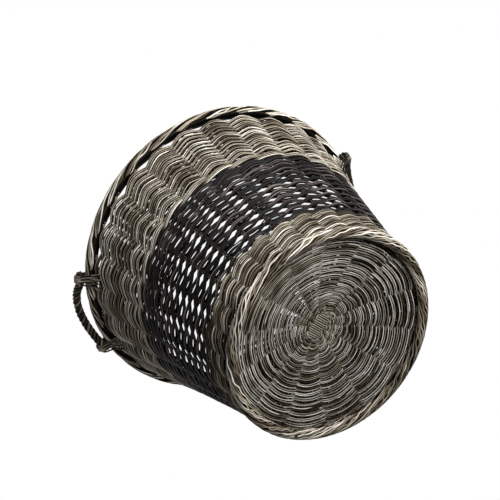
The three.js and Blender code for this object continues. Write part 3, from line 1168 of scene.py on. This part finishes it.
@dataclass
class Studio:
    """White surround, soft lamps, a pale floor and the camera at the photograph's angle."""

    unit_mm: float = 136.0
    axis_x: tuple[float, float, float] = (0.8891, -0.1864, 0.4181)
    axis_y: tuple[float, float, float] = (0.0, 0.9134, 0.4072)
    axis_z: tuple[float, float, float] = (-0.4577, -0.3620, 0.8121)
    shift: tuple[float, float, float] = (0.713, 0.755, 12.059)
    turn: float = -14.0  # degrees
    lens_mm: float = 100.8
    sensor_mm: float = 36.0
    ambient: float = 0.12
    floor_half_m: float = 3.0
    lamps: tuple[Lamp, ...] = (
        Lamp("key", (0.5, -0.9, -0.05), 1.8, 0.7, 50.0),
        Lamp("under", (0.15, -0.7, -0.9), 1.9, 0.5, 32.0),
        Lamp("above", (0.1, -0.3, 1.0), 1.8, 1.2, 30.0),
    )

    def camera(self) -> None:
        """Places the camera: picture = axes x turned point + shift, so the camera stands at -(axes)T shift."""
        axes = np.column_stack([self.axis_x, self.axis_y, self.axis_z])
        c, s = np.cos(np.radians(self.turn)), np.sin(np.radians(self.turn))
        view = axes @ np.array([[c, -s, 0], [s, c, 0], [0, 0, 1]])
        left, _, right = np.linalg.svd(view)  # the nearest true rotation
        view = left @ right
        matrix = np.eye(4)
        matrix[:3, :3] = view.T @ np.diag([1.0, -1.0, -1.0])
        matrix[:3, 3] = -view.T @ np.array(self.shift) * self.unit_mm * MM
        data = bpy.data.cameras.new("camera")
        data.lens = self.lens_mm
        data.sensor_width = self.sensor_mm
        data.clip_start = 0.05
        made = bpy.data.objects.new("camera", data)
        made.matrix_world = Matrix(matrix.tolist())
        bpy.context.scene.collection.objects.link(made)
        bpy.context.scene.camera = made

    def world(self) -> None:
        """White to the camera and in reflections, and a softer grey as the light from all round."""
        made = bpy.data.worlds.new("surround")
        bpy.context.scene.world = made
        made.use_nodes = True
        tree = made.node_tree
        tree.nodes.clear()
        path = add_node(tree, "ShaderNodeLightPath").outputs
        mirrored = maths(tree, "MAXIMUM", path["Is Glossy Ray"], path["Is Transmission Ray"])
        seen = maths(tree, "MAXIMUM", path["Is Camera Ray"], mirrored)
        light = add_node(tree, "ShaderNodeBackground", {"Color": (1, 1, 1, 1), "Strength": self.ambient})
        white = add_node(tree, "ShaderNodeBackground", {"Color": (1, 1, 1, 1), "Strength": 1.0})
        mix = add_node(tree, "ShaderNodeMixShader", None, {0: seen, 1: light.outputs[0], 2: white.outputs[0]})
        add_node(tree, "ShaderNodeOutputWorld", None, {"Surface": mix.outputs[0]})

    def floor(self) -> None:
        """A pale floor at the foot's level that shows only from above, so the base can be seen from below."""
        size = self.floor_half_m
        corners = [(-size, -size, 0), (size, -size, 0), (size, size, 0), (-size, size, 0)]
        mesh = bpy.data.meshes.new("floor")
        mesh.from_pydata(corners, [], [(0, 1, 2, 3)])
        made = bpy.data.objects.new("floor", mesh)
        # Studio board painted off-white with a roller, flat and matt.
        finish = bpy.data.materials.new("Pale studio floor, painted board")
        finish.use_nodes = True
        tree = finish.node_tree
        tree.nodes.clear()
        below = add_node(tree, "ShaderNodeNewGeometry").outputs["Backfacing"]
        paint = add_node(tree, "ShaderNodeBsdfPrincipled", {"Base Color": linear("#f4f3f1"), "Roughness": 0.8})
        clear = add_node(tree, "ShaderNodeBsdfTransparent")
        mix = add_node(tree, "ShaderNodeMixShader", None, {0: below, 1: paint.outputs[0], 2: clear.outputs[0]})
        add_node(tree, "ShaderNodeOutputMaterial", None, {"Surface": mix.outputs[0]})
        mesh.materials.append(finish)
        bpy.context.scene.collection.objects.link(made)
        made.visible_shadow = False

    def build(self) -> None:
        """Sets the view, the camera, the surround, the floor and the lamps."""
        bpy.context.scene.view_settings.view_transform = "Standard"
        self.camera()
        self.world()
        self.floor()
        for lamp in self.lamps:
            lamp.build()


@dataclass
class Basket:
    """The whole basket, built part by part."""

    wall: Wall = field(default_factory=Wall)

    def bands(self) -> list[WovenBand]:
        """The four woven bands of the wall, from the foot up.

        Returns:
            The bands.
        """
        dark_rows = np.array([57.5, 69.0, 81.0, 93.0, 104.5, 116.5, 128.0, 139.0, 149.0, 157.5, 165.5, 173.5])
        return [
            WovenBand(
                "lower_wale_rods", "lower_wale", "grey_willow", PALE_WILLOW, np.linspace(16.5, 48.5, 6),
                rods_in_bundle=3, rod_radius=1.2, lift=2.6, wall=self.wall, tone=0.46, tone_spread=0.24,
                uneven=0.8, seed=2, cover=0.7, sides=6,
            ),
            WovenBand(
                "dark_band_rods", "dark_band", "dark_willow", DARK_WILLOW, dark_rows,
                rods_in_bundle=3, rod_radius=1.08, lift=2.6, wall=self.wall, tone=0.5, tone_spread=0.3,
                uneven=0.55, seed=3, peak=1.6,
            ),
            WovenBand(
                "middle_wale_rods", "middle_wale", "grey_willow", PALE_WILLOW, np.array([183.1]),
                rods_in_bundle=3, rod_radius=1.45, lift=2.2, wall=self.wall, tone=0.72, tone_spread=0.2,
                seed=4, points_a_stake=10, sides=8,
            ),
            WovenBand(
                "light_band_rods", "light_band", "grey_willow", GREY_WILLOW, np.linspace(191.4, 267.0, 12),
                rods_in_bundle=2, rod_radius=1.38, lift=0.8, wall=self.wall, tone=0.6, tone_spread=0.18,
                uneven=0.6, seed=6, sides=6, peak=3.6, cover=1.75,
            ),
        ]

    def rings(self) -> tuple[WoundRing, WoundRing]:
        """The two wound rings.

        Returns:
            The foot and the border.
        """
        foot = WoundRing(
            "foot_rods", "foot_border", radius=130.0, height=6.0, half_width=7.0, half_height=6.0, rod_radius=1.32,
            sweep=46.0, turn_from=150.0, turn_to=385.0, rods_each=3, bunch=1.25, loose=0.13, core=2.8, seed=21,
        )
        border = WoundRing(
            "border_rods", "rolled_border", radius=191.5, height=282.0, half_width=8.5, half_height=7.0,
            rod_radius=1.45, sweep=56.0, turn_from=-80.0, turn_to=225.0, rods_each=3, bunch=1.15, loose=0.14,
            core=3.2, seed=25,
        )
        return foot, border

    def build(self) -> None:
        """Builds and dresses every part."""
        finishes = (
            GREY_WILLOW, BASE_WILLOW, PALE_WILLOW, DARK_WILLOW, STAKE_WILLOW, ROPE_WILLOW, LASHING_WILLOW
        )
        materials = {finish.title: finish.material() for finish in finishes}
        stakes = Stakes(self.wall)
        foot, border = self.rings()
        stakes.build(materials)
        for part in (Base(stakes), foot, *self.bands(), border, Handle(Side.LEFT), Handle(Side.RIGHT)):
            part.dress(materials)


def main() -> None:
    """Loads the frame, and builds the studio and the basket."""
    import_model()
    Studio().build()
    Basket().build()


if __name__ == "__main__":
    main()
